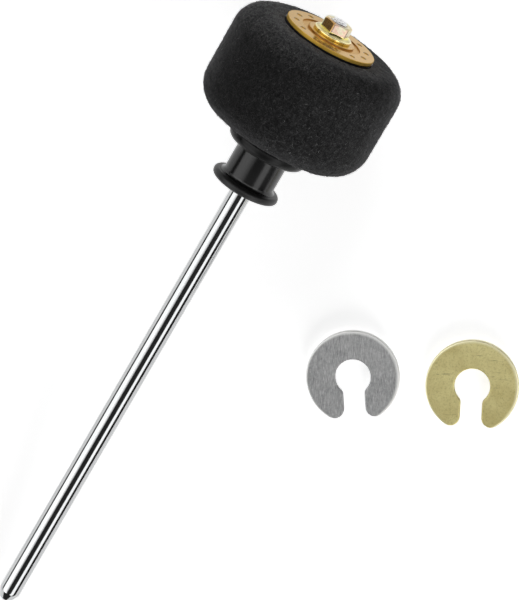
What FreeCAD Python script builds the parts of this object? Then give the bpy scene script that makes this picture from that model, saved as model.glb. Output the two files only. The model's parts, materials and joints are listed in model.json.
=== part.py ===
import FreeCAD, Part
import os

import Sketcher

# A bass drum beater laid on a table beside its two tuning weights.
# Every turned piece is drawn about its own Z axis, then laid along the tilted axis of the beater.

# Driving sizes, in millimetres, degrees and counts
driving = {
    # chromed shaft with a threaded stud at its upper end
    "shaft_diameter": 8.0,
    "grip_length": 180.4,
    "shank_diameter": 7.4,
    "tip_diameter": 4.6,
    "tip_taper": 3.6,
    "tip_shoulder_radius": 3.0,
    "tip_end_radius": 0.8,
    "stud_diameter": 6.0,
    "stud_proud": 0.6,
    "stud_chamfer": 0.5,
    "stud_dimple": 1.4,
    "shoulder_depth": 31.0,
    # moulded hub
    "lower_flange_diameter": 25.8,
    "lower_flange_thickness": 2.9,
    "neck_diameter": 19.5,
    "neck_length": 13.6,
    "neck_fillet": 1.2,
    "upper_flange_diameter": 31.0,
    "upper_flange_thickness": 4.5,
    "upper_flange_under_radius": 4.1,
    "upper_flange_top_radius": 0.25,
    "fillet_land": 0.1,
    "stem_diameter": 14.8,
    "stem_chamfer": 0.5,
    "stem_gap": 3.0,
    # felt head
    "felt_diameter": 65.4,
    "felt_height": 41.0,
    "felt_top_radius": 9.0,
    "felt_bottom_radius": 12.0,
    # seat that the weights rest on
    "seat_lip": 0.2,
    "seat_thickness": 0.9,
    "seat_recess": 0.2,
    "collar_length": 8.0,
    # cap disc
    "disc_diameter": 34.8,
    "disc_thickness": 1.4,
    "disc_edge_radius": 0.25,
    "groove_diameter": 23.2,
    "groove_depth": 0.4,
    "land_diameter": 18.2,
    "land_height": 0.4,
    "spigot_diameter": 12.5,
    "spigot_length": 2.5,
    "dimple_circle": 28.2,
    "dimple_diameter": 2.1,
    "dimple_depth": 0.55,
    "dimple_count": 12,
    "dimple_start": 15.0,
    # flange nut
    "nut_flats": 10.0,
    "nut_height": 5.6,
    "nut_chamfer_diameter": 9.4,
    "nut_chamfer_drop": 0.8,
    "nut_lead": 0.5,
    "nut_turn": 49.3,
    "flange_diameter": 14.5,
    "flange_edge": 1.1,
    "flange_rise": 1.0,
    "flange_edge_radius": 0.35,
    # tuning weights
    "weight_diameter": 34.0,
    "weight_thickness": 3.0,
    "weight_slot": 7.8,
    "arm_radius": 3.5,
    "mouth_radius": 2.4,
    "aluminium_edge": 0.45,
    "brass_edge": 0.6,
    "aluminium_along": 135.65,
    "aluminium_aside": 68.45,
    "aluminium_turn": 213.6,
    "brass_along": 154.8,
    "brass_aside": 107.33,
    "brass_turn": 207.2,
    # clearances, each on the radius
    "shank_clearance": 0.05,
    "stud_clearance": 0.2,
    "thread_clearance": 0.05,
    "felt_clearance": 0.1,
    "spigot_clearance": 0.2,
    "weight_clearance": 0.2,
}

# Places worked out from the driving sizes: stations along the axis, then how the beater lies
worked_out = {
    "hub_height": "sizes.lower_flange_thickness + sizes.neck_length + sizes.upper_flange_thickness",
    "lower_overhang": "(sizes.lower_flange_diameter - sizes.neck_diameter) / 2",
    "upper_overhang": "(sizes.upper_flange_diameter - sizes.neck_diameter) / 2",
    "neck_round": "min(sizes.neck_fillet; lower_overhang * 0.4; upper_overhang * 0.4)",
    "lower_round": "min(sizes.lower_flange_thickness * 0.48; lower_overhang - neck_round - sizes.fillet_land)",
    "under_round": "min(sizes.upper_flange_under_radius; upper_overhang - neck_round - sizes.fillet_land;"
                   " sizes.upper_flange_thickness - sizes.upper_flange_top_radius - sizes.fillet_land)",
    "felt_station": "sizes.grip_length + hub_height",
    "cap_station": "felt_station + sizes.felt_height + sizes.seat_thickness - sizes.seat_recess",
    "seat_diameter": "sizes.disc_diameter + 2 * sizes.seat_lip",
    "stem_length": "sizes.felt_height - sizes.seat_recess - sizes.collar_length - sizes.stem_gap",
    "collar_station": "cap_station - sizes.seat_thickness - sizes.collar_length",
    "nut_station": "cap_station + sizes.disc_thickness + sizes.land_height",
    "stud_end": "nut_station + sizes.nut_height + sizes.stud_proud",
    "stud_end_radius": "sizes.stud_diameter / 2 - sizes.stud_chamfer",
    "tip_slope": "atan((sizes.shaft_diameter - sizes.tip_diameter) / 2 / sizes.tip_taper)",
    "rest_run": "felt_station + sizes.felt_bottom_radius - sizes.tip_taper"
                " - sizes.tip_shoulder_radius * tan(tip_slope / 2)",
    "rest_rise": "(sizes.felt_diameter - sizes.shaft_diameter) / 2"
                 " - sizes.felt_bottom_radius + sizes.tip_shoulder_radius",
    "tilt": "atan(rest_rise / rest_run) + asin((sizes.felt_bottom_radius - sizes.tip_shoulder_radius)"
            " / sqrt(rest_run ^ 2 + rest_rise ^ 2))",
    "axis_height": "sizes.tip_shoulder_radius - (sizes.tip_taper + sizes.tip_shoulder_radius"
                   " * tan(tip_slope / 2)) * sin(tilt)"
                   " + (sizes.shaft_diameter / 2 - sizes.tip_shoulder_radius) * cos(tilt)",
    "tip_x": "-(stud_end * cos(tilt) + (stud_end_radius - sizes.tip_diameter / 2) * sin(tilt)) / 2",
    "tip_y": "(sizes.brass_aside + sizes.weight_diameter / 2 - sizes.felt_diameter / 2) / 2",
}

doc = FreeCAD.newDocument("bass_drum_beater")


def fill_sheet(name, cells):
    sheet = doc.addObject("Spreadsheet::Sheet", name)
    for row, (alias, content) in enumerate(cells.items(), start=1):
        sheet.set(f"A{row}", alias)
        sheet.setAlias(f"B{row}", alias)
        sheet.set(f"B{row}", str(content))
    doc.recompute()
    return sheet


sizes = fill_sheet("sizes", driving)
places = fill_sheet("places", {alias: "=" + formula for alias, formula in worked_out.items()})


def value(expression):
    result = sizes.evalExpression(expression)
    return float(getattr(result, "Value", result))


def new_body(label):
    body = doc.addObject("PartDesign::Body", label)
    body.Label = label
    return body


def new_sketch(body, role, name):
    plane = next(item for item in body.Origin.OriginFeatures if item.Role == role)
    sketch = body.newObject("Sketcher::SketchObject", name)
    sketch.AttachmentSupport = [(plane, "")]
    sketch.MapMode = "FlatFace"
    return sketch


def bind(sketch, constraint, expression):
    index = sketch.addConstraint(constraint)
    sketch.setExpression(f"Constraints[{index}]", expression)


# A closed outline of straight sides, each corner bound to a (radius, height) pair of expressions
def outline(body, name, corners):
    sketch = new_sketch(body, "XZ_Plane", name)
    spots = [FreeCAD.Vector(value(across), value(up), 0) for across, up in corners]
    count = len(corners)
    for index in range(count):
        sketch.addGeometry(Part.LineSegment(spots[index], spots[(index + 1) % count]), False)
    for index in range(count):
        sketch.addConstraint(Sketcher.Constraint("Coincident", index, 2, (index + 1) % count, 1))
    for index, (across, up) in enumerate(corners):
        if across == "0":
            sketch.addConstraint(Sketcher.Constraint("PointOnObject", index, 1, -2))
        else:
            bind(sketch, Sketcher.Constraint("DistanceX", -1, 1, index, 1, spots[index].x), across)
        if up == "0":
            sketch.addConstraint(Sketcher.Constraint("PointOnObject", index, 1, -1))
        else:
            bind(sketch, Sketcher.Constraint("DistanceY", -1, 1, index, 1, spots[index].y), up)
    return sketch


def revolve(body, kind, name, corners):
    sketch = outline(body, name + "_outline", corners)
    feature = body.newObject("PartDesign::" + kind, name)
    feature.Profile = sketch
    feature.ReferenceAxis = (sketch, ["V_Axis"])
    feature.Angle = 360.0
    doc.recompute()
    return feature


def circles(body, name, diameters):
    sketch = new_sketch(body, "XY_Plane", name)
    for index, diameter in enumerate(diameters):
        circle = Part.Circle(FreeCAD.Vector(), FreeCAD.Vector(0, 0, 1), value(diameter) / 2)
        sketch.addGeometry(circle, False)
        sketch.addConstraint(Sketcher.Constraint("Coincident", index, 3, -1, 1))
        bind(sketch, Sketcher.Constraint("Diameter", index, value(diameter)), diameter)
    return sketch


def pad(body, name, sketch, length):
    feature = body.newObject("PartDesign::Pad", name)
    feature.Profile = sketch
    feature.setExpression("Length", length)
    doc.recompute()
    return feature


# Names of the round edges that lie at the given (radius, height) pairs of expressions
def rims(feature, spots):
    names = []
    for across, up in spots:
        radius = value(across)
        height = value(up)
        for index, edge in enumerate(feature.Shape.Edges, start=1):
            curve = edge.Curve
            if curve.TypeId == "Part::GeomCircle" and abs(curve.Radius - radius) < 1e-4:
                if abs(curve.Center.z - height) < 1e-4:
                    names.append(f"Edge{index}")
    return names


def dress(body, kind, name, base, places_on_base, size):
    feature = body.newObject("PartDesign::" + kind, name)
    feature.Base = (base, places_on_base)
    feature.setExpression("Radius" if kind == "Fillet" else "Size", size)
    doc.recompute()
    return feature


def cut_depth_check(before, after):
    if after.Shape.Volume >= before.Shape.Volume - 1e-6:
        raise RuntimeError(after.Name + " removed nothing")


def lay_on_axis(body, station, turn="0"):
    base = f"vector(places.tip_x + ({station}) * cos(places.tilt); places.tip_y; " \
           f"places.axis_height + ({station}) * sin(places.tilt))"
    laid = f"rotation(vector(0; 1; 0); 90 deg - places.tilt) * rotation(vector(0; 0; 1); {turn} * 1 deg)"
    body.setExpression("Placement", f"placement({base}; {laid})")


# Shaft: a bullet tip, the plain grip, a shank turned down for the hub and the stud
def make_shaft():
    body = new_body("shaft")
    grip = "sizes.shaft_diameter / 2"
    shank = "sizes.shank_diameter / 2"
    stud = "sizes.stud_diameter / 2"
    shoulder = "sizes.grip_length + sizes.shoulder_depth"
    bar = revolve(body, "Revolution", "shaft_bar", [
        ("0", "0"),
        ("sizes.tip_diameter / 2", "0"),
        (grip, "sizes.tip_taper"),
        (grip, "sizes.grip_length"),
        (shank, "sizes.grip_length"),
        (shank, shoulder),
        (stud, shoulder),
        (stud, "places.stud_end - sizes.stud_chamfer"),
        ("places.stud_end_radius", "places.stud_end"),
        ("0", "places.stud_end"),
    ])
    rounded = dress(body, "Fillet", "tip_shoulder", bar, rims(bar, [(grip, "sizes.tip_taper")]),
                    "sizes.tip_shoulder_radius")
    ended = dress(body, "Fillet", "tip_end", rounded, rims(rounded, [("sizes.tip_diameter / 2", "0")]),
                  "sizes.tip_end_radius")
    centre = revolve(body, "Groove", "stud_centre", [
        ("0", "places.stud_end - sizes.stud_dimple / 2"),
        ("sizes.stud_dimple / 2", "places.stud_end"),
        ("0", "places.stud_end"),
    ])
    cut_depth_check(ended, centre)
    lay_on_axis(body, "0")
    return body


# Hub: a spool with two flanges, and a stem that carries the felt
def make_hub():
    body = new_body("hub")
    bore = "sizes.shank_diameter / 2 + sizes.shank_clearance"
    stud_bore = "sizes.stud_diameter / 2 + sizes.stud_clearance"
    lower = "sizes.lower_flange_diameter / 2"
    upper = "sizes.upper_flange_diameter / 2"
    neck = "sizes.neck_diameter / 2"
    stem = "sizes.stem_diameter / 2"
    neck_foot = "sizes.lower_flange_thickness"
    neck_head = "sizes.lower_flange_thickness + sizes.neck_length"
    stem_top = "places.hub_height + places.stem_length"
    spool = revolve(body, "Revolution", "spool", [
        (bore, "0"),
        (lower, "0"),
        (lower, neck_foot),
        (neck, neck_foot),
        (neck, neck_head),
        (upper, neck_head),
        (upper, "places.hub_height"),
        (stem, "places.hub_height"),
        (stem, stem_top),
        (stud_bore, stem_top),
        (stud_bore, "sizes.shoulder_depth"),
        (bore, "sizes.shoulder_depth"),
    ])
    rim = dress(body, "Fillet", "lower_rim", spool, rims(spool, [(lower, "0"), (lower, neck_foot)]),
                "places.lower_round")
    waist = dress(body, "Fillet", "neck_fillets", rim, rims(rim, [(neck, neck_foot), (neck, neck_head)]),
                  "places.neck_round")
    under = dress(body, "Fillet", "upper_rim_under", waist, rims(waist, [(upper, neck_head)]),
                  "places.under_round")
    top = dress(body, "Fillet", "upper_rim_top", under, rims(under, [(upper, "places.hub_height")]),
                "sizes.upper_flange_top_radius")
    dress(body, "Chamfer", "stem_lead", top, rims(top, [(stem, stem_top)]), "sizes.stem_chamfer")
    lay_on_axis(body, "sizes.grip_length")
    return body


# Felt head: a pressed felt cylinder with rounded ends, bored for the stem and recessed for the seat
def make_felt_head():
    body = new_body("felt_head")
    bore = "sizes.stem_diameter / 2 + sizes.felt_clearance"
    side = "sizes.felt_diameter / 2"
    recess = "places.seat_diameter / 2 + sizes.felt_clearance"
    floor = "sizes.felt_height - sizes.seat_recess"
    block = revolve(body, "Revolution", "felt_block", [
        (bore, "0"),
        (side, "0"),
        (side, "sizes.felt_height"),
        (recess, "sizes.felt_height"),
        (recess, floor),
        (bore, floor),
    ])
    lower = dress(body, "Fillet", "felt_lower_edge", block, rims(block, [(side, "0")]),
                  "sizes.felt_bottom_radius")
    dress(body, "Fillet", "felt_upper_edge", lower, rims(lower, [(side, "sizes.felt_height")]),
          "sizes.felt_top_radius")
    lay_on_axis(body, "places.felt_station")
    return body


# Weight seat: a thin flange let a little into the felt, with a collar down the bore that guides the spigot
def make_weight_seat():
    body = new_body("weight_seat")
    bore = "sizes.spigot_diameter / 2 + sizes.spigot_clearance"
    collar = "sizes.stem_diameter / 2"
    rim = "places.seat_diameter / 2"
    top = "sizes.collar_length + sizes.seat_thickness"
    revolve(body, "Revolution", "seat_ring", [
        (bore, "0"),
        (collar, "0"),
        (collar, "sizes.collar_length"),
        (rim, "sizes.collar_length"),
        (rim, top),
        (bore, top),
    ])
    lay_on_axis(body, "places.collar_station")
    return body


# Cap disc: a turned plate with a groove, a ring of dimples, a raised land and a spigot underneath
def make_cap_disc():
    body = new_body("cap_disc")
    bore = "sizes.stud_diameter / 2 + sizes.stud_clearance"
    spigot = "sizes.spigot_diameter / 2"
    rim = "sizes.disc_diameter / 2"
    land = "sizes.land_diameter / 2"
    face = "sizes.spigot_length + sizes.disc_thickness"
    groove_floor = face + " - sizes.groove_depth"
    plate = revolve(body, "Revolution", "plate", [
        (bore, "0"),
        (spigot, "0"),
        (spigot, "sizes.spigot_length"),
        (rim, "sizes.spigot_length"),
        (rim, face),
        ("sizes.groove_diameter / 2", face),
        ("sizes.groove_diameter / 2", groove_floor),
        (land, groove_floor),
        (land, face + " + sizes.land_height"),
        (bore, face + " + sizes.land_height"),
    ])
    edges = [(rim, "sizes.spigot_length"), (rim, face), (land, face + " + sizes.land_height")]
    eased = dress(body, "Fillet", "disc_edges", plate, rims(plate, edges), "sizes.disc_edge_radius")

    sketch = outline(body, "dimple_outline", [
        ("sizes.dimple_circle / 2", face + " - sizes.dimple_depth"),
        ("sizes.dimple_circle / 2 + sizes.dimple_diameter / 2", face),
        ("sizes.dimple_circle / 2", face),
    ])
    dimple = body.newObject("PartDesign::Groove", "dimple")
    dimple.Profile = sketch
    dimple.ReferenceAxis = (sketch, ["Edge3"])
    dimple.Angle = 360.0
    doc.recompute()
    cut_depth_check(eased, dimple)

    ring = body.newObject("PartDesign::PolarPattern", "dimple_ring")
    ring.Originals = [dimple]
    ring.Axis = (next(item for item in body.Origin.OriginFeatures if item.Role == "Z_Axis"), [""])
    ring.Angle = 360.0
    ring.setExpression("Occurrences", "sizes.dimple_count")
    body.Tip = ring
    doc.recompute()
    cut_depth_check(dimple, ring)
    lay_on_axis(body, "places.cap_station - sizes.spigot_length", "sizes.dimple_start")
    return body


# Flange nut: a hexagon with a chamfered crown, standing on its own washer flange
def make_flange_nut():
    body = new_body("flange_nut")
    bore = "sizes.stud_diameter / 2 + sizes.thread_clearance"
    rim = "sizes.flange_diameter / 2"
    flange = revolve(body, "Revolution", "washer_flange", [
        (bore, "0"),
        (rim, "0"),
        (rim, "sizes.flange_edge"),
        ("sizes.nut_flats / 2", "sizes.flange_edge + sizes.flange_rise"),
        (bore, "sizes.flange_edge + sizes.flange_rise"),
    ])
    flange = dress(body, "Fillet", "flange_edge", flange, rims(flange, [(rim, "sizes.flange_edge")]),
                   "sizes.flange_edge_radius")

    sketch = circles(body, "hexagon", ["2 * (" + bore + ")"])
    corner_radius = "sizes.nut_flats / 2 / cos(30 deg)"
    reach = value(corner_radius)
    guide = sketch.addGeometry(Part.Circle(FreeCAD.Vector(), FreeCAD.Vector(0, 0, 1), reach), True)
    sketch.addConstraint(Sketcher.Constraint("Coincident", guide, 3, -1, 1))
    bind(sketch, Sketcher.Constraint("Radius", guide, reach), corner_radius)
    turn = FreeCAD.Rotation(FreeCAD.Vector(0, 0, 1), 60)
    spot = FreeCAD.Vector(reach, 0, 0)
    sides = []
    for step in range(6):
        after = turn.multVec(spot)
        sides.append(sketch.addGeometry(Part.LineSegment(spot, after), False))
        spot = after
    for step, side in enumerate(sides):
        sketch.addConstraint(Sketcher.Constraint("Coincident", side, 2, sides[(step + 1) % 6], 1))
        sketch.addConstraint(Sketcher.Constraint("PointOnObject", side, 1, guide))
        if step:
            sketch.addConstraint(Sketcher.Constraint("Equal", sides[0], side))
    sketch.addConstraint(Sketcher.Constraint("PointOnObject", sides[0], 1, -1))
    block = pad(body, "hexagon_block", sketch, "sizes.nut_height")

    crown = revolve(body, "Groove", "crown_chamfer", [
        ("sizes.nut_chamfer_diameter / 2", "sizes.nut_height"),
        (corner_radius + " + sizes.nut_chamfer_drop", "sizes.nut_height - sizes.nut_chamfer_drop"),
        (corner_radius + " + sizes.nut_chamfer_drop", "sizes.nut_height"),
    ])
    cut_depth_check(block, crown)
    dress(body, "Chamfer", "thread_lead", crown, rims(crown, [(bore, "sizes.nut_height")]), "sizes.nut_lead")
    lay_on_axis(body, "places.nut_station", "sizes.nut_turn")
    return body


# Tuning weight: a C-shaped plate whose slot slips past the stud and whose bore drops over the spigot
def make_weight(label, edge, along, aside, turn):
    body = new_body(label)
    bore = "sizes.spigot_diameter + 2 * sizes.weight_clearance"
    ring = pad(body, label + "_ring", circles(body, label + "_circles", ["sizes.weight_diameter", bore]),
               "sizes.weight_thickness")

    sketch = new_sketch(body, "XY_Plane", label + "_slot_outline")
    reach = value("sizes.weight_diameter / 2 + sizes.arm_radius")
    half = value("sizes.weight_slot / 2")
    spots = [(0, -half), (reach, -half), (reach, half), (0, half)]
    spots = [FreeCAD.Vector(across, up, 0) for across, up in spots]
    for index in range(4):
        sketch.addGeometry(Part.LineSegment(spots[index], spots[(index + 1) % 4]), False)
    for index in range(4):
        sketch.addConstraint(Sketcher.Constraint("Coincident", index, 2, (index + 1) % 4, 1))
    sketch.addConstraint(Sketcher.Constraint("Horizontal", 0))
    sketch.addConstraint(Sketcher.Constraint("Vertical", 1))
    sketch.addConstraint(Sketcher.Constraint("Horizontal", 2))
    sketch.addConstraint(Sketcher.Constraint("Symmetric", 0, 1, 2, 2, -1))
    sketch.addConstraint(Sketcher.Constraint("PointOnObject", 0, 1, -2))
    bind(sketch, Sketcher.Constraint("DistanceY", 1, 1, 1, 2, 2 * half), "sizes.weight_slot")
    bind(sketch, Sketcher.Constraint("DistanceX", 0, 1, 0, 2, reach),
         "sizes.weight_diameter / 2 + sizes.arm_radius")
    slot = body.newObject("PartDesign::Pocket", label + "_slot")
    slot.Profile = sketch
    slot.Type = "ThroughAll"
    slot.Reversed = True
    doc.recompute()
    cut_depth_check(ring, slot)

    def upright_edges(feature, least, most):
        names = []
        for index, side in enumerate(feature.Shape.Edges, start=1):
            across = side.CenterOfMass
            upright = abs(abs(side.tangentAt(side.FirstParameter).z) - 1) < 1e-6
            if upright and least < FreeCAD.Vector(across.x, across.y, 0).Length < most and across.x > 0:
                if abs(abs(across.y) - half) < 1e-4:
                    names.append(f"Edge{index}")
        return names

    middle = value("(sizes.weight_diameter + " + bore + ") / 4")
    tips = dress(body, "Fillet", label + "_arm_tips", slot, upright_edges(slot, middle, reach),
                 "sizes.arm_radius")
    mouth = dress(body, "Fillet", label + "_mouth", tips, upright_edges(tips, 0, middle),
                  "sizes.mouth_radius")
    flats = [f"Face{index}" for index, face in enumerate(mouth.Shape.Faces, start=1)
             if abs(abs(face.normalAt(0, 0).z) - 1) < 1e-6 and face.Surface.TypeId == "Part::GeomPlane"]
    dress(body, "Fillet", label + "_eased_edges", mouth, flats, edge)
    base = f"vector(places.tip_x + {along}; places.tip_y - {aside}; 0)"
    body.setExpression("Placement", f"placement({base}; rotation(vector(0; 0; 1); {turn} * 1 deg))")
    return body


bodies = [
    make_shaft(),
    make_hub(),
    make_felt_head(),
    make_weight_seat(),
    make_cap_disc(),
    make_flange_nut(),
    make_weight("aluminium_weight", "sizes.aluminium_edge", "sizes.aluminium_along",
                "sizes.aluminium_aside", "sizes.aluminium_turn"),
    make_weight("brass_weight", "sizes.brass_edge", "sizes.brass_along",
                "sizes.brass_aside", "sizes.brass_turn"),
]
doc.recompute()

for item in doc.Objects:
    if "Invalid" in item.State or "Error" in item.State:
        raise RuntimeError(item.Name + " did not recompute")

os.makedirs("parts", exist_ok=True)
for body in bodies:
    if body.Shape.isNull() or not body.Shape.isValid() or len(body.Shape.Solids) != 1:
        raise RuntimeError(body.Label + " is not one valid solid")
    body.Shape.exportStep(f"parts/{body.Label}.step")
    print(body.Label, round(body.Shape.Volume / 1000, 3), "cm3", body.Shape.BoundBox)
print("tilt", places.get("tilt"), "axis height", places.get("axis_height"),
      "tip", places.get("tip_x"), places.get("tip_y"))
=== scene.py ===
import json
import math

import bmesh
import bpy
import numpy as np
from mathutils import Matrix, Vector, noise


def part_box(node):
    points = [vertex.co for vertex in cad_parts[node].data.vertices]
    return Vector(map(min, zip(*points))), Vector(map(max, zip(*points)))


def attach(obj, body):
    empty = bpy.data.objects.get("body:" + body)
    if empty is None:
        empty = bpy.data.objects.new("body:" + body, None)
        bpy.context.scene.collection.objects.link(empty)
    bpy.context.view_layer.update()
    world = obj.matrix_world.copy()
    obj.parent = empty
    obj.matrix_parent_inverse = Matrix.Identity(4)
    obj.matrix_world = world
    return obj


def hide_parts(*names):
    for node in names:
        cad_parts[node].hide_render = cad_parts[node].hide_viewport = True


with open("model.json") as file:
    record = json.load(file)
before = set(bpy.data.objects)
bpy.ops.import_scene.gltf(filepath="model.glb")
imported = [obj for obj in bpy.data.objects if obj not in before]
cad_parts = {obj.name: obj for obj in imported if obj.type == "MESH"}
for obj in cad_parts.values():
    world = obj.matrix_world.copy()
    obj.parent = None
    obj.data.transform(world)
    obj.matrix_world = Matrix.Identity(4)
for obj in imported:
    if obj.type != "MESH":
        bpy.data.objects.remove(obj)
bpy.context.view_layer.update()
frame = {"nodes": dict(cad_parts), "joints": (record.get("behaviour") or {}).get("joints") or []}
mm = 0.001
micron = 0.001 * mm
print("frame loaded:", ", ".join(sorted(frame["nodes"])))


# Where the beater lies: the axis comes from the nut's joint, the tip from the shaft itself

joints = {joint["name"]: joint for joint in frame["joints"]}
axisDir = Vector(joints["nut_turn"]["axis"]).normalized()
sideDir = Vector((0, 1, 0))
liftDir = axisDir.cross(sideDir)
axisSpot = Vector(joints["nut_turn"]["pos_m"])


def nodePoints(node):
    mesh = frame["nodes"][node].data
    flat = np.zeros(len(mesh.vertices) * 3)
    mesh.vertices.foreach_get("co", flat)
    return flat.reshape(-1, 3)


def stations(node):  # lowest and highest place of a node along the axis, from axisSpot
    along = (nodePoints(node) - np.array(axisSpot)) @ np.array(axisDir)
    return float(along.min()), float(along.max())


def placeOf(across, aside, up, spot):  # a frame with these axes, at spot
    place = Matrix((across, aside, up)).transposed().to_4x4()
    place.translation = spot
    return place


tipSpot = axisSpot + axisDir * stations("shaft")[0]
tipGap = (axisSpot - tipSpot).length
beaterPlace = placeOf(-liftDir, sideDir, axisDir, tipSpot)
toBeater = beaterPlace.inverted()


def fromTip(node):  # the same stations, from the shaft's tip
    low, high = stations(node)
    return low + tipGap, high + tipGap


def reachOf(node):  # least and greatest distance of a node from the axis
    offset = nodePoints(node) - np.array(tipSpot)
    away = np.linalg.norm(np.cross(offset, np.array(axisDir)), axis=1)
    return float(away.min()), float(away.max())


# Node trees: a socket that takes part in sums, and one method for every other node


class Wire:
    def __init__(self, graph, socket):
        self.graph = graph
        self.socket = socket

    def out(self, name):  # another output of the same node
        return Wire(self.graph, self.socket.node.outputs[name])

    def calc(self, operation, *others):
        inputs = dict(enumerate((self,) + others))
        return self.graph.node("ShaderNodeMath", inputs, operation=operation)

    def __add__(self, other):
        return self.calc("ADD", other)

    def __sub__(self, other):
        return self.calc("SUBTRACT", other)

    def __rsub__(self, other):
        return self.calc("MULTIPLY_ADD", -1.0, other)

    def __mul__(self, other):
        return self.calc("MULTIPLY", other)

    def __pow__(self, other):
        return self.calc("POWER", other)

    __radd__ = __add__
    __rmul__ = __mul__


class Graph:
    def __init__(self, tree):
        self.tree = tree

    def node(self, kind, inputs=None, output=0, **settings):
        node = self.tree.nodes.new(kind)
        for key, setting in settings.items():
            if key == "stops":
                self.fillRamp(node.color_ramp, setting)
            else:
                setattr(node, key, setting)
        self.fill(node, inputs or {})
        return Wire(self, node.outputs[output]) if len(node.outputs) else node

    def fill(self, node, inputs):
        for key, content in inputs.items():
            if isinstance(content, Wire):
                self.tree.links.new(content.socket, node.inputs[key])
            else:
                node.inputs[key].default_value = content

    def fillRamp(self, ramp, stops):
        while len(ramp.elements) < len(stops):
            ramp.elements.new(0.5)
        for element, (place, colour) in zip(ramp.elements, stops):
            element.position = place
            element.color = colour if len(colour) == 4 else (*colour, 1.0)


class Finish(Graph):  # a material whose pattern lies in the piece's own frame
    def __init__(self, name, place=None):
        self.material = bpy.data.materials.new(name)
        self.material.use_nodes = True
        super().__init__(self.material.node_tree)
        self.tree.nodes.clear()
        spot = self.node("ShaderNodeTexCoord", output="Object")
        if place is not None:
            inverse = place.inverted()
            spot = self.node("ShaderNodeMapping", {
                "Vector": spot,
                "Location": inverse.translation,
                "Rotation": inverse.to_euler(),
            })
        self.spot = spot

    def noise(self, scale, detail=2.0, roughness=0.5, spot=None, distortion=0.0):
        return self.node("ShaderNodeTexNoise", {
            "Vector": spot or self.spot,
            "Scale": scale,
            "Detail": detail,
            "Roughness": roughness,
            "Distortion": distortion,
        })

    def streaks(self, scales, detail, roughness=0.5, distortion=0.0):  # noise with a scale on each axis
        spot = self.node("ShaderNodeVectorMath", {0: self.spot, 1: scales}, operation="MULTIPLY")
        return self.noise(1.0, detail, roughness, spot, distortion)

    def cells(self, scale):
        return self.node("ShaderNodeTexVoronoi", {"Vector": self.spot, "Scale": scale})

    def ramp(self, factor, stops):
        return self.node("ShaderNodeValToRGB", {"Fac": factor}, stops=stops)

    def band(self, factor, low, high):  # 0 below low, 1 above high
        return self.node("ShaderNodeMapRange", {
            "Value": factor, "From Min": low, "From Max": high,
        })

    def blend(self, factor, first, second, how="MIX"):
        return self.node("ShaderNodeMix", {0: factor, 6: first, 7: second}, output=2,
                         data_type="RGBA", blend_type=how)

    def parts(self):  # the place along each axis of the pattern's frame
        split = self.node("ShaderNodeSeparateXYZ", {"Vector": self.spot})
        return split, split.out("Y"), split.out("Z")

    def bump(self, height, distance, strength):
        return self.node("ShaderNodeBump", {
            "Height": height, "Distance": distance, "Strength": strength,
        })

    def shade(self, **inputs):  # the shader itself; socket names are given without their spaces
        shader = self.node("ShaderNodeBsdfPrincipled")
        names = {socket.name.replace(" ", ""): socket.name for socket in shader.socket.node.inputs}
        self.fill(shader.socket.node, {names[key]: content for key, content in inputs.items()})
        self.node("ShaderNodeOutputMaterial", {"Surface": shader})
        return self.material


def grey(level):
    return (level, level, level, 1.0)


def distance(across, aside):  # how far off a place is that lies this far across and aside
    return (across * across + aside * aside) ** 0.5


def between(share, first, second):
    return first + (second - first) * share


def ramped(value, low, high):  # 0 up to low, 1 from high on
    return min(max((value - low) / (high - low), 0), 1)


# Mesh helpers: new objects, turned outlines and shells


def added(name, data):  # a new object in the scene
    holder = bpy.data.objects.new(name, data)
    bpy.context.scene.collection.objects.link(holder)
    return holder


def eased(corners, steps):  # (radius, height, rounding) corners to a list of points
    spots = []
    for index, (across, up, rounding) in enumerate(corners):
        here = Vector((across, up))
        if not rounding:
            spots.append(here)
            continue
        before = (Vector(corners[index - 1][:2]) - here).normalized()
        after = (Vector(corners[(index + 1) % len(corners)][:2]) - here).normalized()
        half = before.angle(after) / 2
        centre = here + (before + after).normalized() * rounding / math.sin(half)
        first = here + before * rounding / math.tan(half) - centre
        last = here + after * rounding / math.tan(half) - centre
        start = math.atan2(first.y, first.x)
        sweep = (math.atan2(last.y, last.x) - start + math.pi) % (2 * math.pi) - math.pi
        for step in range(steps + 1):
            angle = start + sweep * step / steps
            spots.append(centre + rounding * Vector((math.cos(angle), math.sin(angle))))
    return spots


def divided(spots, spacing, closed):  # the same outline with no step longer than spacing
    fine = []
    count = len(spots) if closed else len(spots) - 1
    for index in range(count):
        here = spots[index]
        there = spots[(index + 1) % len(spots)]
        parts = max(1, math.ceil((there - here).length / spacing))
        fine += [here.lerp(there, part / parts) for part in range(parts)]
    return fine if closed else fine + [spots[-1]]


def turned(columns, outlineAt, closed, firstAngle=0.0):  # points and faces of a shell about Z
    points, faces = [], []
    for column in range(columns):
        angle = firstAngle + 2 * math.pi * column / columns
        ring = outlineAt(angle)
        points += [(spot[0] * math.cos(angle), spot[0] * math.sin(angle), spot[1]) for spot in ring]
    rows = len(ring)
    for column in range(columns):
        here = column * rows
        there = (column + 1) % columns * rows
        for row in range(rows if closed else rows - 1):
            after = (row + 1) % rows
            faces.append((here + row, there + row, there + after, here + after))
    return points, faces


def settle(name, points, faces, place, finishes, sharpAngle=40):
    mesh = bpy.data.meshes.new(name)
    mesh.from_pydata(points, [], faces)
    work = bmesh.new()
    work.from_mesh(mesh)
    bmesh.ops.remove_doubles(work, verts=work.verts, dist=1e-7)
    bmesh.ops.recalc_face_normals(work, faces=work.faces)
    work.to_mesh(mesh)
    work.free()
    mesh.transform(place)
    mesh.shade_smooth()
    mesh.set_sharp_from_angle(angle=math.radians(sharpAngle))
    for finish in finishes:
        mesh.materials.append(finish)
    return added(name, mesh)


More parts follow.
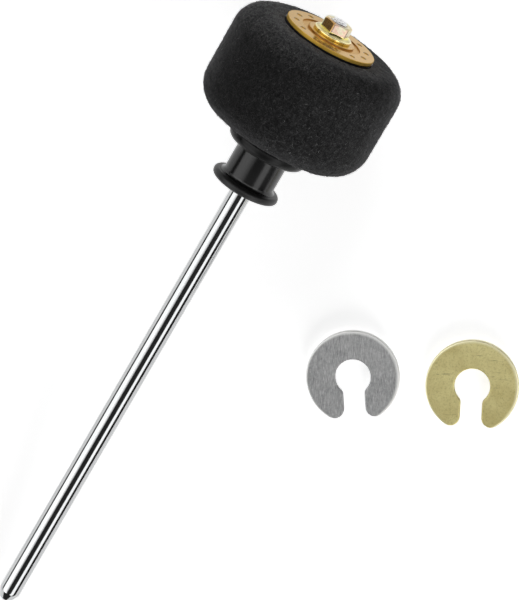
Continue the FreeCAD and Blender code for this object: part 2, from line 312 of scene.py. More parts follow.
def dress(node, finish):  # a CAD node keeps its mesh and takes a finish
    mesh = frame["nodes"][node].data
    mesh.materials.clear()
    mesh.materials.append(finish)


# The thread that the stud and the nut share, so that they stay in mesh

thread = {
    "pitch": 1.0 * mm, "crest": 2.97 * mm, "depth": 0.58 * mm, "play": 0.07 * mm,
    "rootLand": 0.18, "crestLand": 0.16,  # flat shares of the pitch
}


def threadRadius(up, angle):
    share = (up / thread["pitch"] - angle / (2 * math.pi)) % 1
    rise = ramped(abs(2 * share - 1), thread["rootLand"], 1 - thread["crestLand"])
    return thread["crest"] - thread["depth"] * (1 - rise)


# Chromed shaft with its threaded stud

shaft = {
    "columns": 96, "radius": reachOf("shaft")[1], "tipRadius": 2.3 * mm, "taper": 3.6 * mm,
    "shoulder": 3.0 * mm, "tipEase": 0.8 * mm, "easeSteps": 8, "spacing": 12 * mm,
    "hidden": 30 * mm,  # how far the bar runs on inside the hub
    "chamfer": 0.5 * mm, "dimple": 0.7 * mm, "rows": 12,  # the stud, with rows to a turn of its thread
    "chrome": ((0.50, 0.51, 0.515, 1), (0.54, 0.545, 0.545, 1)), "pit": (0.36, 0.355, 0.35, 1),
    "steel": [(0.3, (0.80, 0.81, 0.83)), (0.7, (0.96, 0.96, 0.96))], "grime": (0.06, 0.06, 0.065, 1),
}


def chromePlate():
    finish = Finish("chromePlate", beaterPlace)
    cloud = finish.noise(140, detail=4, roughness=0.6)
    haze = finish.streaks((900, 900, 60), detail=2)
    lines = finish.streaks((300, 300, 9000), detail=1)
    speck = finish.band(finish.cells(420), 0.09, 0.05) * finish.band(cloud, 0.52, 0.6)
    colour = finish.blend(finish.band(haze, 0.35, 0.7), *shaft["chrome"])
    colour = finish.blend(speck, colour, shaft["pit"])
    rough = 0.075 + 0.035 * cloud + 0.15 * speck
    return finish.shade(BaseColor=colour, Metallic=1.0, Roughness=rough,
                        Normal=finish.bump(lines, 0.4 * micron, 0.5))


def studSteel():
    finish = Finish("studSteel", beaterPlace)
    cloud = finish.noise(900, detail=3)
    speck = finish.band(finish.noise(1500, detail=3, roughness=0.7), 0.56, 0.62)
    colour = finish.ramp(cloud, shaft["steel"])
    colour = finish.blend(0.9 * speck, colour, shaft["grime"])
    return finish.shade(BaseColor=colour, Metallic=0.75, Roughness=0.22 + 0.15 * cloud,
                        Normal=finish.bump(cloud, 4 * micron, 0.4))


def makeShaft():
    high = fromTip("shaft")[1]
    grip = fromTip("hub")[0] + shaft["hidden"]
    threadFrom = fromTip("weight_seat")[0]
    corners = [
        (0, 0, 0),
        (shaft["tipRadius"], 0, shaft["tipEase"]),
        (shaft["radius"], shaft["taper"], shaft["shoulder"]),
        (shaft["radius"], grip, 0),
        (thread["crest"], grip, 0),
        (thread["crest"], threadFrom, 0),
    ]
    bar = divided(eased(corners, shaft["easeSteps"]), shaft["spacing"], False)
    turns = round((high - threadFrom) / thread["pitch"] * shaft["rows"])
    heights = [threadFrom + (high - threadFrom) * row / turns for row in range(1, turns + 1)]
    dimple = [Vector((shaft["dimple"], high)), Vector((0, high - shaft["dimple"]))]

    def outlineAt(angle):
        stud = []
        for up in heights:
            limit = thread["crest"] - max(0, up - (high - shaft["chamfer"]))
            stud.append(Vector((min(threadRadius(up, angle), limit), up)))
        return bar + stud + dimple

    points, faces = turned(shaft["columns"], outlineAt, False)
    piece = settle("shaftBar", points, faces, beaterPlace, [chromePlate(), studSteel()])
    for face in piece.data.polygons:
        face.material_index = int((toBeater @ face.center).z > grip)
    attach(piece, "beater")
    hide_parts("shaft")
    print("shaft:", len(piece.data.polygons), "faces")


# Moulded hub and the thin seat under the cap

hub = {
    "columns": 160, "easeSteps": 10, "bore": 3.75 * mm, "stem": 7.4 * mm,
    "lowerReach": 12.9 * mm, "lowerHeight": 2.9 * mm, "lowerEase": 1.3 * mm,
    "neck": 9.75 * mm, "neckFoot": 1.8 * mm, "neckHead": 1.2 * mm,
    "upperReach": 15.1 * mm, "upperHeight": 5.7 * mm, "underEase": 2.6 * mm, "topEase": 2.9 * mm,
    "overlap": 0.2 * mm,  # how far a flange's finish runs on over the neck
    "black": (0.016, 0.023), "dust": (0.14, 0.14, 0.135, 1),
}


def satinMoulding(name, rough, gloss=0.42, tone=1.0):
    finish = Finish(name, beaterPlace)
    cloud = finish.noise(55, detail=4, roughness=0.6)
    grain = finish.noise(5200, detail=2, roughness=0.6)
    speck = finish.band(finish.cells(900), 0.10, 0.04) * finish.band(finish.noise(260), 0.55, 0.66)
    colour = finish.blend(cloud, *[grey(level * tone) for level in hub["black"]])
    colour = finish.blend(0.55 * speck, colour, hub["dust"])
    return finish.shade(BaseColor=colour, Roughness=rough + 0.06 * cloud + 0.2 * speck,
                        SpecularIORLevel=gloss, Normal=finish.bump(grain, 6 * micron, 0.6))


def makeHub():
    low, high = fromTip("hub")
    seat = fromTip("felt_head")[0]
    corners = [
        (hub["bore"], low, 0),
        (hub["lowerReach"], low, hub["lowerEase"]),
        (hub["lowerReach"], low + hub["lowerHeight"], hub["lowerEase"]),
        (hub["neck"], low + hub["lowerHeight"], hub["neckFoot"]),
        (hub["neck"], seat - hub["upperHeight"], hub["neckHead"]),
        (hub["upperReach"], seat - hub["upperHeight"], hub["underEase"]),
        (hub["upperReach"], seat, hub["topEase"]),
        (hub["stem"], seat, 0),
        (hub["stem"], high, 0),
        (hub["bore"], high, 0),
    ]
    outline = eased(corners, hub["easeSteps"])
    points, faces = turned(hub["columns"], lambda angle: outline, True)
    finishes = [
        satinMoulding("hubNeck", rough=0.17),
        # the lower flange takes a black twice as pale, painted light that lifts the shade beside the neck
        satinMoulding("hubFootPaintedLight", rough=0.34, gloss=0.27, tone=2.0),
        satinMoulding("hubHead", rough=0.24, gloss=0.16),
    ]
    piece = settle("hubSpool", points, faces, beaterPlace, finishes)
    for face in piece.data.polygons:
        up = (toBeater @ face.center).z
        if up < low + hub["lowerHeight"] + hub["overlap"]:
            face.material_index = 1
        elif up > seat - hub["upperHeight"] - hub["overlap"]:
            face.material_index = 2
    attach(piece, "beater")
    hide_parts("hub")
    print("hub:", len(piece.data.polygons), "faces")


# Felt head: a pressed block with an uneven surface, and the nap that stands on it

felt = {
    "columns": 288, "spacing": 0.52 * mm, "easeSteps": 24, "sharpAngle": 60,
    "radius": reachOf("felt_head")[1], "bore": reachOf("felt_head")[0], "hubReach": reachOf("hub")[1],
    "bottomEase": 12.0 * mm, "topEase": 9.0 * mm,
    "recess": reachOf("weight_seat")[1] + 0.1 * mm, "recessDepth": 0.2 * mm, "recessEase": 0.1 * mm,
    "lipDepth": 1.2 * mm, "lipWidth": 0.3 * mm,  # the flat edge round the recess
    "loft": 0.18 * mm,  # how far the raised surface stands off the pressed block
    "waves": [(0.05, 0.28 * mm), (0.16, 0.13 * mm), (0.5, 0.10 * mm), (1.3, 0.06 * mm)],
    "cant": (-0.7 * mm, 0.25 * mm),  # the lower edge isn't quite square
    "cantReach": (16 * mm, 20 * mm), "cantHeight": 7.2 * mm,
    "floorGap": 0.03 * mm, "napHeight": (0.8 * mm, 2.8 * mm),  # over the table
    "dark": [(0.25, (0.009, 0.009, 0.0092)), (0.75, (0.025, 0.025, 0.0253))],
    "hollow": (0.0045, 0.0045, 0.0046, 1), "hair": (0.16, 0.16, 0.161, 1),
    "mottle": [(0.36, grey(0.35)), (0.64, grey(1.7))],
    "crown": grey(2.6),  # the upper edge is painted paler on one side, a painted highlight where light falls
    "crownDepth": (8.1 * mm, 2.7 * mm), "crownSide": (-26 * mm, 12 * mm),
    "dustHeight": (3 * mm, 11 * mm), "dustSide": (-16 * mm, -3 * mm),
}
nap = {
    "density": 0.55e6, "length": 1.1 * mm, "thickness": 0.055 * mm, "seed": 11,
    "tones": [(0.0, grey(0.006)), (0.7, grey(0.03)), (0.94, grey(0.16)), (1.0, grey(0.32))],
}
lint = {
    "density": 0.13e6, "length": 1.0 * mm, "thickness": 0.085 * mm, "seed": 4,
    "tones": [(0.0, grey(0.03)), (0.55, grey(0.12)), (0.9, grey(0.4)), (1.0, grey(0.8))],
}
strand = {  # places along a strand are shares of its length
    "steps": 3, "sides": 3, "root": (0, 0, -0.03),
    "bends": [  # middle and end
        ((0.5, 0.25, 0.15), (1.0, 0.0, 0.02)),
        ((0.45, -0.3, 0.07), (0.8, 0.3, 0.12)),
        ((0.4, 0.1, 0.2), (0.7, 0.5, 0.06)),
    ],
    "roll": (-0.2, 0.2), "tilt": (-0.25, 0.1), "scale": (0.45, 1.35),
}


def blackFelt():
    finish = Finish("blackFelt", beaterPlace)
    cloud = finish.noise(48, detail=5, roughness=0.62)
    hairs = None
    for scales in ((5200, 700, 900), (800, 5200, 700), (900, 800, 5200)):
        hair = finish.band(finish.streaks(scales, detail=2, roughness=0.65, distortion=0.6), 0.5, 0.78)
        hairs = hair if hairs is None else hairs.calc("MAXIMUM", hair)
    matted = finish.noise(620, detail=4, roughness=0.7)
    clump = finish.noise(520, detail=3, roughness=0.65)
    mottle = finish.noise(2300, detail=2, roughness=0.6)
    dark = finish.ramp(cloud, felt["dark"])
    dark = finish.blend(finish.band(clump, 0.42, 0.62), dark, felt["hollow"])
    colour = finish.blend(0.9 * hairs * finish.band(matted, 0.3, 0.7), dark, felt["hair"])

    low, high = fromTip("felt_head")
    down, aside, up = finish.parts()
    deep, shallow = felt["crownDepth"]
    # painted highlight: the upper edge is made paler on one side, as if lit there
    crown = finish.band(up, high - deep, high - shallow) * finish.band(aside, *felt["crownSide"])
    colour = finish.blend(crown, colour, felt["crown"], "MULTIPLY")
    colour = finish.blend(1.0, colour, finish.ramp(mottle, felt["mottle"]), "MULTIPLY")

    clean, full = felt["dustHeight"]
    dusty = finish.band(up, low + clean, low + full)
    dusty = dusty.calc("MAXIMUM", finish.band(down, *felt["dustSide"]))
    facing = finish.node("ShaderNodeLayerWeight", {"Blend": 0.5}, output="Facing")
    return finish.shade(BaseColor=colour, Roughness=0.92, SheenWeight=0.15, SheenRoughness=0.45,
                        SheenTint=(0.75, 0.75, 0.78, 1), SpecularIORLevel=0.12,
                        CoatWeight=0.3 * dusty * finish.band(facing, 0.4, 1.0), CoatRoughness=0.55,
                        Normal=finish.bump(0.6 * matted + 0.4 * hairs, 0.10 * mm, 0.8))


def strandFinish(name, tones):  # each strand has a tone of its own, from 0 to 1
    finish = Finish(name, beaterPlace)
    tone = finish.node("ShaderNodeAttribute", output="Fac", attribute_name="tone")
    colour = finish.blend(0.5 * finish.noise(1500, detail=2), finish.ramp(tone, tones), grey(0.01))
    return finish.shade(BaseColor=colour, Roughness=0.75, SpecularIORLevel=0.2)


def strandShapes(graph, given):  # the bent strands that are strewn on the felt
    length = given.out("Length")

    def bend(along, aside, up):
        return graph.node("ShaderNodeCombineXYZ", {
            "X": length * along, "Y": length * aside, "Z": length * up,
        })

    shapes = None
    for middle, end in strand["bends"]:
        line = graph.node("GeometryNodeCurveQuadraticBezier", {
            "Resolution": strand["steps"], "Start": bend(*strand["root"]),
            "Middle": bend(*middle), "End": bend(*end),
        })
        ring = graph.node("GeometryNodeCurvePrimitiveCircle", {
            "Resolution": strand["sides"], "Radius": given.out("Thickness") * 0.5,
        })
        tube = graph.node("GeometryNodeCurveToMesh", {
            "Curve": line, "Profile Curve": ring, "Fill Caps": True,
        })
        single = graph.node("GeometryNodeGeometryToInstance", {0: tube})
        if shapes is None:
            shapes = graph.node("GeometryNodeJoinGeometry", {0: single})
        else:
            graph.tree.links.new(single.socket, shapes.socket.node.inputs[0])
    return shapes


def strandTree(name, finish):
    tree = bpy.data.node_groups.new(name, "GeometryNodeTree")
    for socket, kind in (("Geometry", "Geometry"), ("Density", "Float"), ("Length", "Float"),
                         ("Thickness", "Float"), ("Seed", "Int")):
        tree.interface.new_socket(socket, in_out="INPUT", socket_type="NodeSocket" + kind)
    tree.interface.new_socket("Geometry", in_out="OUTPUT", socket_type="NodeSocketGeometry")
    graph = Graph(tree)
    given = graph.node("NodeGroupInput")
    cover = graph.node("GeometryNodeInputNamedAttribute", {"Name": "nap"}, data_type="FLOAT")
    spread = graph.node("GeometryNodeDistributePointsOnFaces", {
        "Mesh": given, "Density": given.out("Density") * cover, "Seed": given.out("Seed"),
    })

    def chance(low, high, offset):
        return graph.node("FunctionNodeRandomValue", {
            2: low, 3: high, "Seed": given.out("Seed") + offset,
        }, output=1, data_type="FLOAT")

    turn = graph.node("ShaderNodeCombineXYZ", {
        "X": chance(*strand["roll"], 1), "Y": chance(*strand["tilt"], 2), "Z": chance(0, 2 * math.pi, 3),
    })
    turn = graph.node("FunctionNodeEulerToRotation", {0: turn})
    laid = graph.node("FunctionNodeRotateRotation", {
        0: spread.out("Rotation"), 1: turn,
    }, rotation_space="LOCAL")
    size = chance(*strand["scale"], 4)
    strewn = graph.node("GeometryNodeInstanceOnPoints", {
        "Points": spread, "Instance": strandShapes(graph, given), "Pick Instance": True, "Rotation": laid,
        "Scale": graph.node("ShaderNodeCombineXYZ", {"X": size, "Y": size, "Z": size}),
    })
    toned = graph.node("GeometryNodeStoreNamedAttribute", {
        "Geometry": strewn, "Name": "tone", "Value": chance(0, 1, 5),
    }, data_type="FLOAT", domain="INSTANCE")
    whole = graph.node("GeometryNodeRealizeInstances", {0: toned})
    painted = graph.node("GeometryNodeSetMaterial", {"Geometry": whole, "Material": finish})
    graph.node("NodeGroupOutput", {"Geometry": painted})
    return tree


def grown(name, base, tree, values):  # what the tree makes on a copy of base, as a plain mesh
    host = added(name + "Host", base.data.copy())
    modifier = host.modifiers.new(name, "NODES")
    modifier.node_group = tree
    for item in tree.interface.items_tree:
        if item.in_out == "INPUT" and item.name.lower() in values:
            modifier[item.identifier] = values[item.name.lower()]
    graph = bpy.context.evaluated_depsgraph_get()
    mesh = bpy.data.meshes.new_from_object(host.evaluated_get(graph), depsgraph=graph)
    host.modifiers.clear()
    bpy.data.objects.remove(host)
    mesh.shade_smooth()
    return added(name, mesh)


def raiseSurface(mesh, low, high):  # the felt's uneven surface, and how densely the nap covers it
    cover = mesh.attributes.new("nap", "FLOAT", "POINT")
    lipFrom = high - felt["lipDepth"]
    lipReach = felt["recess"] + felt["lipWidth"]
    normals = [vertex.normal.copy() for vertex in mesh.vertices]
    for vertex, normal in zip(mesh.vertices, normals):
        local = toBeater @ vertex.co
        reach = math.hypot(local.x, local.y)
        flat = reach < felt["hubReach"] or (local.z > lipFrom and reach < lipReach)
        raised = 0.0 if flat else 1.0
        swell = sum(noise.noise(local / mm * scale) * depth for scale, depth in felt["waves"])
        vertex.co += normal * (felt["loft"] + swell) * raised
        lean = ramped(reach, *felt["cantReach"]) * (1 - ramped(local.z, low, low + felt["cantHeight"]))
        rise = (felt["cant"][0] * local.x + felt["cant"][1] * local.y) / max(reach, mm)
        vertex.co += axisDir * rise * lean
        vertex.co.z = max(vertex.co.z, felt["floorGap"])
        cover.data[vertex.index].value = raised * ramped(vertex.co.z, *felt["napHeight"])


def makeFelt():
    low, high = fromTip("felt_head")
    floorOfRecess = high - felt["recessDepth"]
    corners = [
        (felt["bore"], low, 0),
        (felt["radius"], low, felt["bottomEase"]),
        (felt["radius"], high, felt["topEase"]),
        (felt["recess"], high, felt["recessEase"]),
        (felt["recess"], floorOfRecess, 0),
        (felt["bore"], floorOfRecess, 0),
    ]
    outline = divided(eased(corners, felt["easeSteps"]), felt["spacing"], True)
    points, faces = turned(felt["columns"], lambda angle: outline, True)
    block = settle("feltBlock", points, faces, beaterPlace, [blackFelt()], felt["sharpAngle"])
    raiseSurface(block.data, low, high)
    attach(block, "beater")
    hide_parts("felt_head")
    print("felt block:", len(block.data.polygons), "faces")

    for name, finishName, values in (("feltNap", "napStrand", nap), ("feltLint", "lintStrand", lint)):
        finish = strandFinish(finishName, values["tones"])
        piece = grown(name, block, strandTree(name + "Tree", finish), values)
        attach(piece, "beater")
        print(name + ":", len(piece.data.polygons), "faces")


# Gilt cap disc

disc = {
    "radius": reachOf("cap_disc")[1], "sideBand": 0.12 * mm,
    "groove": (9.1 * mm, 11.6 * mm), "grooveEdge": 0.2 * mm,
    "dimpleCircle": 14.1 * mm, "dimpleStart": math.radians(15), "dimpleStep": math.radians(30),
    "dimple": 1.05 * mm, "dimpleEdge": (1.18, 1.04), "dimpleFade": (0.3, 1.1),  # radius, and shares of it
    "faceGilt": ((0.47, 0.30, 0.11, 1), (0.53, 0.355, 0.145, 1)),
    # the rim side is painted a brighter ochre, a painted reflection of the pale floor
    "sideGilt": ((0.86, 0.50, 0.045, 1), (0.92, 0.58, 0.085, 1)),
    # the groove colour is painted shade
    "grooveGilt": (0.52, 0.29, 0.075, 1), "turning": (0.40, 0.25, 0.10, 1),
    # painted shade and reflection in the dimples: golden in the middle, dark at and past their rim
    "pit": [(0.1, (0.80, 0.46, 0.06)), (0.5, (0.42, 0.21, 0.02)), (0.9, (0.07, 0.03, 0.004))],
}


def giltTurning():
    finish = Finish("giltTurning", beaterPlace)
    across, aside = finish.parts()[:2]
    reach = distance(across, aside)
    cloud = finish.noise(160, detail=4, roughness=0.6)
    rings = finish.node("ShaderNodeTexNoise", {
        "W": reach * (1 / mm), "Scale": 14.0, "Detail": 3.0, "Roughness": 0.7,
    }, noise_dimensions="1D")
    edge = finish.band(reach, disc["radius"] - 2 * disc["sideBand"], disc["radius"] - disc["sideBand"])
    face = finish.blend(cloud, *disc["faceGilt"])
    # painted reflection: the rim side takes the brighter ochre
    colour = finish.blend(edge, face, finish.blend(cloud, *disc["sideGilt"]))
    inner, outer = disc["groove"]
    groove = finish.band(reach, inner - disc["grooveEdge"], inner)
    groove *= finish.band(reach, outer + disc["grooveEdge"], outer)
    # painted shade: the groove is made darker than the face round it
    colour = finish.blend(0.6 * groove, colour, disc["grooveGilt"])

    half = disc["dimpleStep"] / 2
    sector = (aside.calc("ARCTAN2", across) - disc["dimpleStart"]).calc("WRAP", half, -half)
    off = distance(sector * reach, reach - disc["dimpleCircle"]) * (1 / disc["dimple"])
    # painted shade and reflection: each dimple and a ring past its edge take the pit colours
    dimple = finish.band(off, *disc["dimpleEdge"])
    pit = finish.ramp(finish.band(off, *disc["dimpleFade"]), disc["pit"])
    colour = finish.blend(dimple, colour, pit)
    colour = finish.blend(0.12 * rings, colour, disc["turning"])
    rough = 0.17 + 0.06 * cloud + 0.25 * edge + 0.1 * groove
    return finish.shade(BaseColor=colour, Metallic=1.0 - 0.65 * edge - 0.3 * dimple, Roughness=rough,
                        SpecularTint=(0.92, 0.84, 0.72, 1), Normal=finish.bump(rings, 1.5 * micron, 0.5))


# Flange nut with rounded corners, a crown and its own thread

nut = {
    "columns": 144, "easeSteps": 3, "turn": math.radians(49.3), "seatGap": 0.02 * mm,
    "flats": 10.0 * mm, "cornerCut": 0.07 * mm, "shoulderEase": 0.12 * mm,
    "flange": reachOf("flange_nut")[1], "flangeEdge": 1.1 * mm, "flangeRise": 1.0 * mm,
    "baseEase": 0.08 * mm, "edgeEase": 0.35 * mm, "footEase": 0.22 * mm,
    "crown": 4.7 * mm, "crownSlope": 0.53, "crownEase": 0.10 * mm,
    "lead": 0.5 * mm, "leadWidth": 0.25 * mm, "rows": 10,  # into the thread, with rows to a turn
    "straw": [
        (0.30, (0.50, 0.46, 0.22)), (0.44, (0.60, 0.50, 0.26)), (0.54, (0.62, 0.58, 0.42)),
        (0.66, (0.56, 0.56, 0.36)),
    ],
    "stain": (0.36, 0.28, 0.11, 1),
    "blushTurn": math.radians(199.3),  # the face with a pink bloom
    "blush": [(0.36, (0.43, 0.42, 0.31)), (0.46, (0.49, 0.33, 0.28)), (0.6, (0.51, 0.37, 0.27))],
    "amberTurn": math.radians(141.8), "amber": (0.43, 0.225, 0.055, 1),  # the face beside it, painted darker amber as a painted reflection, with a pale corner strip left as a painted highlight
    "footFade": (2.3 * mm, 1.9 * mm), "olive": ((0.47, 0.40, 0.12, 1), (0.66, 0.60, 0.30, 1)),
    # the bright yellow band at the hexagon's foot is a painted highlight
    "seamReach": (6.0 * mm, 5.5 * mm), "seamRise": (1.35 * mm, 1.6 * mm), "seam": (0.92, 0.80, 0.12, 1),
    # the flange's outer side is painted bright orange, a painted reflection
    "sideInset": (0.2 * mm, 0.1 * mm), "side": (0.90, 0.67, 0.12, 1),
    # the pale gold at the flange's rounded edge is a painted highlight
    "wornInset": (0.45 * mm, 0.3 * mm), "wornRise": (0.7 * mm, 0.85 * mm), "worn": (0.92, 0.82, 0.50, 1),
}


def yellowZinc():
    finish = Finish("yellowZinc", beaterPlace)
    across, aside, up = finish.parts()
    angle = aside.calc("ARCTAN2", across)
    reach = distance(across, aside)
    inset = nut["flange"] - reach
    rise = up - fromTip("flange_nut")[0]
    tint = finish.noise(230, detail=2, roughness=0.5, distortion=0.8)
    cloud = finish.noise(900, detail=3, roughness=0.6)
    colour = finish.ramp(tint, nut["straw"])
    blush = finish.band((angle - nut["blushTurn"]).calc("COSINE") + 0.5 * tint, 0.98, 1.18)
    colour = finish.blend(0.95 * blush, colour, finish.ramp(tint, nut["blush"]))
    # painted reflection: the face beside the pink one turns darker amber, all but a pale strip at one
    # corner
    amber = finish.band((angle - nut["amberTurn"]).calc("COSINE"), 0.881, 0.893)
    colour = finish.blend(0.9 * amber, colour, nut["amber"])
    foot = finish.band(rise, *nut["footFade"])
    olive = finish.blend(finish.band(tint, 0.4, 0.6), *nut["olive"])
    colour = finish.blend(0.85 * foot, colour, olive)
    colour = finish.blend(0.35 * finish.band(cloud, 0.5, 0.75), colour, nut["stain"])
    # painted highlight: a bright yellow band round the hexagon's foot
    seam = finish.band(reach, *nut["seamReach"]) * finish.band(rise, *nut["seamRise"]) * foot
    colour = finish.blend(0.8 * seam, colour, nut["seam"])
    # painted reflection: the flange's outer side turns bright orange
    colour = finish.blend(0.8 * finish.band(inset, *nut["sideInset"]), colour, nut["side"])
    # painted highlight: the flange's rounded edge turns pale gold
    worn = finish.band(inset, *nut["wornInset"]) * finish.band(rise, *nut["wornRise"])
    colour = finish.blend(0.7 * worn, colour, nut["worn"])
    return finish.shade(BaseColor=colour, Metallic=1.0 - 0.05 * worn, Roughness=0.15 + 0.14 * cloud,
                        Normal=finish.bump(cloud, 5 * micron, 0.5))


def makeNut():
    low, high = fromTip("flange_nut")
    low += nut["seatGap"]
    apothem = nut["flats"] / 2
    most = apothem / math.cos(math.radians(30)) - nut["cornerCut"]
    slope = nut["flangeRise"] / (nut["flange"] - apothem)
    mouth = thread["crest"] + thread["play"]
    top = high - nut["lead"]
    turns = round((top - low) / thread["pitch"] * nut["rows"])
    heights = [top - (top - low) * row / turns for row in range(turns + 1)]

    def outlineAt(angle):
        sector = (angle - nut["turn"]) % math.radians(60) - math.radians(30)
        hexagon = min(apothem / math.cos(sector), most)
        foot = low + nut["flangeEdge"] + slope * (nut["flange"] - hexagon)
        shoulder = high - (hexagon - nut["crown"]) * nut["crownSlope"]
        outer = eased([
            (mouth, low, 0),
            (nut["flange"], low, nut["baseEase"]),
            (nut["flange"], low + nut["flangeEdge"], nut["edgeEase"]),
            (hexagon, foot, nut["footEase"]),
            (hexagon, shoulder, nut["shoulderEase"]),
            (nut["crown"], high, nut["crownEase"]),
            (mouth + nut["leadWidth"], high, 0),
        ], nut["easeSteps"])
        inner = [Vector((threadRadius(up, angle) + thread["play"], up)) for up in heights]
        return outer + inner

    points, faces = turned(nut["columns"], outlineAt, True, nut["turn"])
    piece = settle("flangeNut", points, faces, beaterPlace, [yellowZinc()])
    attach(piece, "nut")
    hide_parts("flange_nut")
    print("nut:", len(piece.data.polygons), "faces")


# Loose tuning weights

weights = {
    "grainTurn": math.radians(30.6),  # the brushed grain's direction on the table
    "rimFrom": (0.65 * mm, 1.5 * mm), "rimFull": (0.2 * mm, 0.5 * mm),  # narrow side, broad side
    "rimSides": (-0.6, 0.8),  # where the bright rim is narrow and broad, in radii
}
aluminium = {
    "grain": [(0.3, (0.185, 0.188, 0.19)), (0.7, (0.64, 0.64, 0.64))], "dent": (0.22, 0.225, 0.23, 1),
    # the rim colour is a painted highlight
    "bloom": (0.62, 0.62, 0.615, 1), "rim": (0.93, 0.93, 0.91, 1),
}
brass = {
    "tarnish": [(0.3, (0.66, 0.56, 0.22)), (0.7, (0.88, 0.795, 0.37))], "freckle": (0.40, 0.33, 0.11, 1),
    # the rim colour is a painted highlight
    "scratch": (0.16, 0.12, 0.035, 1), "rim": (0.98, 0.92, 0.60, 1),
}


def weightPlace(node):
    low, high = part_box(node)
    middle = (low + high) / 2
    return Matrix.Translation((middle.x, middle.y, 0)) @ Matrix.Rotation(weights["grainTurn"], 4, "Z")


def rimHighlightBand(finish, node):  # the outer edge, painted bright as a highlight, broader on the side where light falls
    low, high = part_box(node)
    radius = max(high.x - low.x, high.y - low.y) / 2
    across, aside = finish.parts()[:2]
    inset = radius - distance(across, aside)
    broad = finish.band(across - aside, *[side * radius for side in weights["rimSides"]])
    return finish.band(inset, between(broad, *weights["rimFrom"]), between(broad, *weights["rimFull"]))


def brushedAluminium():
    finish = Finish("brushedAluminium", weightPlace("aluminium_weight"))
    grain = finish.streaks((420, 4200, 900), detail=3, roughness=0.7)
    cloud = finish.noise(150, detail=5, roughness=0.65)
    dent = finish.noise(1500, detail=3, roughness=0.65)
    colour = finish.ramp(grain, aluminium["grain"])
    colour = finish.blend(0.5 * finish.band(dent, 0.42, 0.66), colour, aluminium["dent"])
    colour = finish.blend(0.35 * finish.band(cloud, 0.4, 0.75), colour, aluminium["bloom"])
    # painted highlight along the outer edge
    colour = finish.blend(rimHighlightBand(finish, "aluminium_weight"), colour, aluminium["rim"])
    return finish.shade(BaseColor=colour, Metallic=0.55, Roughness=0.38 + 0.14 * grain,
                        Normal=finish.bump(0.6 * grain + 0.4 * dent, 16 * micron, 0.7))


def tarnishedBrass():
    finish = Finish("tarnishedBrass", weightPlace("brass_weight"))
    cloud = finish.noise(110, detail=5, roughness=0.65)
    grain = finish.streaks((900, 4200, 900), detail=3, roughness=0.7)
    scratch = finish.streaks((2600, 190, 400), detail=2, roughness=0.6, distortion=0.5)
    marks = finish.band(scratch, 0.64, 0.72) * finish.band(finish.noise(70, detail=3), 0.5, 0.62)
    freckle = finish.noise(1300, detail=3, roughness=0.7)
    colour = finish.ramp(cloud, brass["tarnish"])
    colour = finish.blend(0.5 * finish.band(freckle, 0.5, 0.72), colour, brass["freckle"])
    colour = finish.blend(0.8 * marks, colour, brass["scratch"])
    # painted highlight along the outer edge
    rim = rimHighlightBand(finish, "brass_weight")
    colour = finish.blend(rim, colour, brass["rim"])
    return finish.shade(BaseColor=colour, Metallic=0.4 + 0.2 * rim,
                        Roughness=0.34 + 0.12 * grain + 0.1 * marks,
                        Normal=finish.bump(0.5 * grain - 0.5 * marks, 10 * micron, 0.6))


# Studio: floor, soft boxes on both sides of the beater, camera

view = {
    "tilt": math.radians(16.55), "turn": math.radians(30.37), "distance": 2.0, "farthest": 20.0,
    "along": 141.225 * mm, "aside": 25.13 * mm, "lens": 327.97, "sensor": 36.0,
}
lamps = {
    "aim": 120 * mm, "boxDistance": 1.0, "fillSize": 0.7,
    "boxes": [  # name, from and to angle round the axis, lean along it, length, brightness
        ("leftBox", -69, -36, -16.5, 1.7, 1.9),
        ("leftFade", -36, -24, -16.5, 1.7, 1.55),
        ("leftDim", -24, -14, -16.5, 1.7, 0.95),
        ("rightBox", 33, 58, -16.5, 1.7, 1.8),
        ("headLeft", -85, -40, 24, 0.6, 0.8),
        ("headBox", -40, 40, 1, 0.32, 0.5),
        ("crownBox", -40, 40, 21, 0.34, 1.7),
        ("headRight", 40, 85, 24, 0.6, 0.9),
    ],
    "fills": [  # name, where it stands, brightness
        ("farFill", (1.1, 0.5, 0.8), 3.1),
        ("rightFill", (-1.0, -1.05, 0.3), 12.3),
    ],
}
stage = {
    "size": 6.0, "paper": grey(0.90), "fibre": grey(0.86), "glow": 0.80, "room": 0.03, "backdrop": 1.0,
}


def makeFloor():
    mesh = bpy.data.meshes.new("floor")
    half = stage["size"] / 2
    corners = [(-half, -half, 0), (half, -half, 0), (half, half, 0), (-half, half, 0)]
    mesh.from_pydata(corners, [], [(0, 1, 2, 3)])
    finish = Finish("paper")
    colour = finish.blend(0.1 * finish.noise(300, detail=3), stage["paper"], stage["fibre"])
    mesh.materials.append(finish.shade(BaseColor=colour, Roughness=0.8, SpecularIORLevel=0.1,
                                       EmissionColor=grey(1.0), EmissionStrength=stage["glow"]))
    floor = added("floor", mesh)
    floor.visible_diffuse = False  # its glow whitens the picture but doesn't light the part


def hangLamp(name, spot, away, long, wide, brightness):  # a soft box that faces back along away
    lamp = bpy.data.lights.new(name, "AREA")
    lamp.shape = "RECTANGLE"
    lamp.size = long
    lamp.size_y = wide
    lamp.energy = brightness * math.pi * long * wide
    across = away.cross(axisDir).normalized()
    along = across.cross(away)
    holder = added(name, lamp)
    holder.matrix_world = placeOf(along, across, away, spot)
    holder.visible_camera = False
    return holder


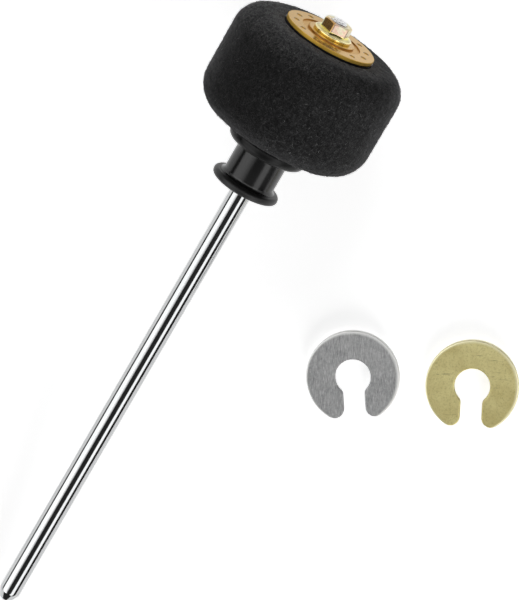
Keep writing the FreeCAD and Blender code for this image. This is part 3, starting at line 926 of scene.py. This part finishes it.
def makeLights():  # the boxes show in the gloss only, the fills light the matt surfaces only
    middle = tipSpot + axisDir * lamps["aim"]
    far = lamps["boxDistance"]
    for name, start, end, lean, length, brightness in lamps["boxes"]:
        turn = math.radians((start + end) / 2)
        square = math.cos(turn) * liftDir - math.sin(turn) * sideDir
        away = square * math.cos(math.radians(lean)) + axisDir * math.sin(math.radians(lean))
        width = 2 * far * math.tan(math.radians(end - start) / 2)
        box = hangLamp(name, middle + away * far, away, length, width, brightness)
        box.visible_diffuse = False
    size = lamps["fillSize"]
    for name, spot, brightness in lamps["fills"]:
        fill = hangLamp(name, Vector(spot), Vector(spot).normalized(), size, size, brightness)
        fill.visible_glossy = False


def makeRoom():
    world = bpy.data.worlds.new("room")
    world.use_nodes = True
    world.node_tree.nodes.clear()
    graph = Graph(world.node_tree)
    seen = graph.node("ShaderNodeLightPath")
    dark, pale = [
        graph.node("ShaderNodeBackground", {"Color": grey(1.0), "Strength": stage[key]})
        for key in ("room", "backdrop")
    ]
    mixed = graph.node("ShaderNodeMixShader", {0: seen, 1: dark, 2: pale})
    graph.node("ShaderNodeOutputWorld", {"Surface": mixed})
    bpy.context.scene.world = world
    bpy.context.scene.view_settings.view_transform = "Standard"


def makeCamera():
    lean = view["tilt"] - math.asin(axisDir.z)
    back = Vector((math.sin(lean), 0, math.cos(lean)))
    ahead = Vector((math.cos(lean), 0, -math.sin(lean)))  # the beater's axis as the picture shows it
    right = ahead.cross(back)
    up = math.cos(view["turn"]) * ahead - math.sin(view["turn"]) * right
    aside = math.sin(view["turn"]) * ahead + math.cos(view["turn"]) * right
    camera = bpy.data.cameras.new("camera")
    camera.lens = view["lens"]
    camera.sensor_width = view["sensor"]
    camera.clip_end = view["farthest"]
    aim = tipSpot + ahead * view["along"] + right * view["aside"]
    holder = added("camera", camera)
    holder.matrix_world = placeOf(aside, up, back, aim + back * view["distance"])
    bpy.context.scene.camera = holder


makeCamera()
makeFloor()
makeLights()
makeRoom()
print("studio ready")
makeShaft()
makeFelt()
makeNut()
makeHub()
dress("weight_seat", satinMoulding("seatMoulding", rough=0.2))
dress("cap_disc", giltTurning())
dress("aluminium_weight", brushedAluminium())
dress("brass_weight", tarnishedBrass())
print("finishes done")
